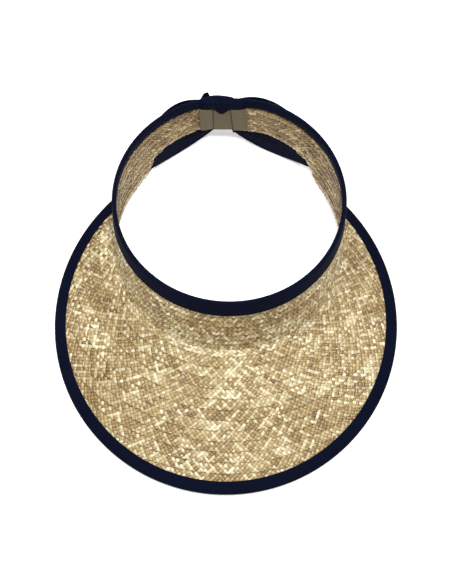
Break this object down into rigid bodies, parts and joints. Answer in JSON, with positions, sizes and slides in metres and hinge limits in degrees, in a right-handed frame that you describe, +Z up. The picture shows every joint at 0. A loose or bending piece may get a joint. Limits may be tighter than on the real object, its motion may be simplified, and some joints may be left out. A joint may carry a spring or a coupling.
{
  "type": "sun visor",
  "caption": "Open-top sun visor of sewn straw braid with a wide sloping brim, ribbon-bound edges, an elastic rear closure and a ribbon bow.",
  "frame": {"origin": "centre of the bounding box in X and Y, at the surface the visor lies on", "axes": "+Z up, front of the brim towards -Y, wearer's left and right along X; +Y is the rear closure"},
  "size_m": [0.27, 0.3119, 0.0797],
  "materials": {
    "straw": "natural plaited wheat straw, glossy splints",
    "edge_ribbon": "navy grosgrain ribbon, finely ribbed",
    "bow_ribbon": "navy grosgrain ribbon, finely ribbed",
    "tape": "taupe cotton tape, matt",
    "elastic": "taupe knitted elastic, matt"
  },
  "bodies": {
    "visor_front": {"crown_braid_01": "straw", "crown_braid_02": "straw", "crown_braid_03": "straw", "crown_braid_04": "straw", "crown_braid_05": "straw", "crown_braid_06": "straw", "crown_braid_07": "straw", "crown_braid_08": "straw", "crown_braid_09": "straw", "crown_braid_10": "straw", "brim_braid_01": "straw", "brim_braid_02": "straw", "brim_braid_03": "straw", "brim_braid_04": "straw", "brim_braid_05": "straw", "brim_braid_06": "straw", "brim_braid_07": "straw", "brim_braid_08": "straw", "brim_braid_09": "straw", "brim_braid_10": "straw", "brim_braid_11": "straw", "brim_braid_12": "straw", "brim_braid_13": "straw", "brim_braid_14": "straw", "crown_ribbon_front": "edge_ribbon", "brim_ribbon": "edge_ribbon"},
    "left_band": {"left_band_braid_1": "straw", "left_band_braid_2": "straw", "left_band_braid_3": "straw", "left_band_braid_4": "straw", "left_band_braid_5": "straw", "crown_ribbon_left": "edge_ribbon", "left_tab": "tape"},
    "right_band": {"right_band_braid_1": "straw", "right_band_braid_2": "straw", "right_band_braid_3": "straw", "right_band_braid_4": "straw", "right_band_braid_5": "straw", "crown_ribbon_right": "edge_ribbon", "right_tab": "tape"},
    "closure": {"elastic": "elastic", "gathered_cap": "edge_ribbon", "bow_knot": "bow_ribbon", "bow_loop_left": "bow_ribbon", "bow_loop_right": "bow_ribbon", "bow_tail_short": "bow_ribbon", "bow_tail_long": "bow_ribbon"}
  },
  "joints": [
    {"name": "left_band_flex", "type": "hinge", "parent": "visor_front", "child": "left_band", "pos_m": [-0.075, 0.10596, 0.03686], "axis": [0, 0.1314, 0.9913], "range_deg": [0, 10], "stiffness_Nm_per_rad": 1.2},
    {"name": "right_band_flex", "type": "hinge", "parent": "visor_front", "child": "right_band", "pos_m": [0.075, 0.10596, 0.03686], "axis": [0, -0.1314, -0.9913], "range_deg": [0, 10], "stiffness_Nm_per_rad": 1.2},
    {"name": "closure_stretch", "type": "slide", "parent": "visor_front", "child": "closure", "axis": [0, 0.9913, -0.1314], "range_m": [0, 0.0115], "deforming": ["elastic"]}
  ],
  "couplings": [
    {"joint": "right_band_flex", "follows": "left_band_flex", "ratio": 1},
    {"joint": "closure_stretch", "follows": "left_band_flex", "m_per_rad": 0.0655}
  ]
}
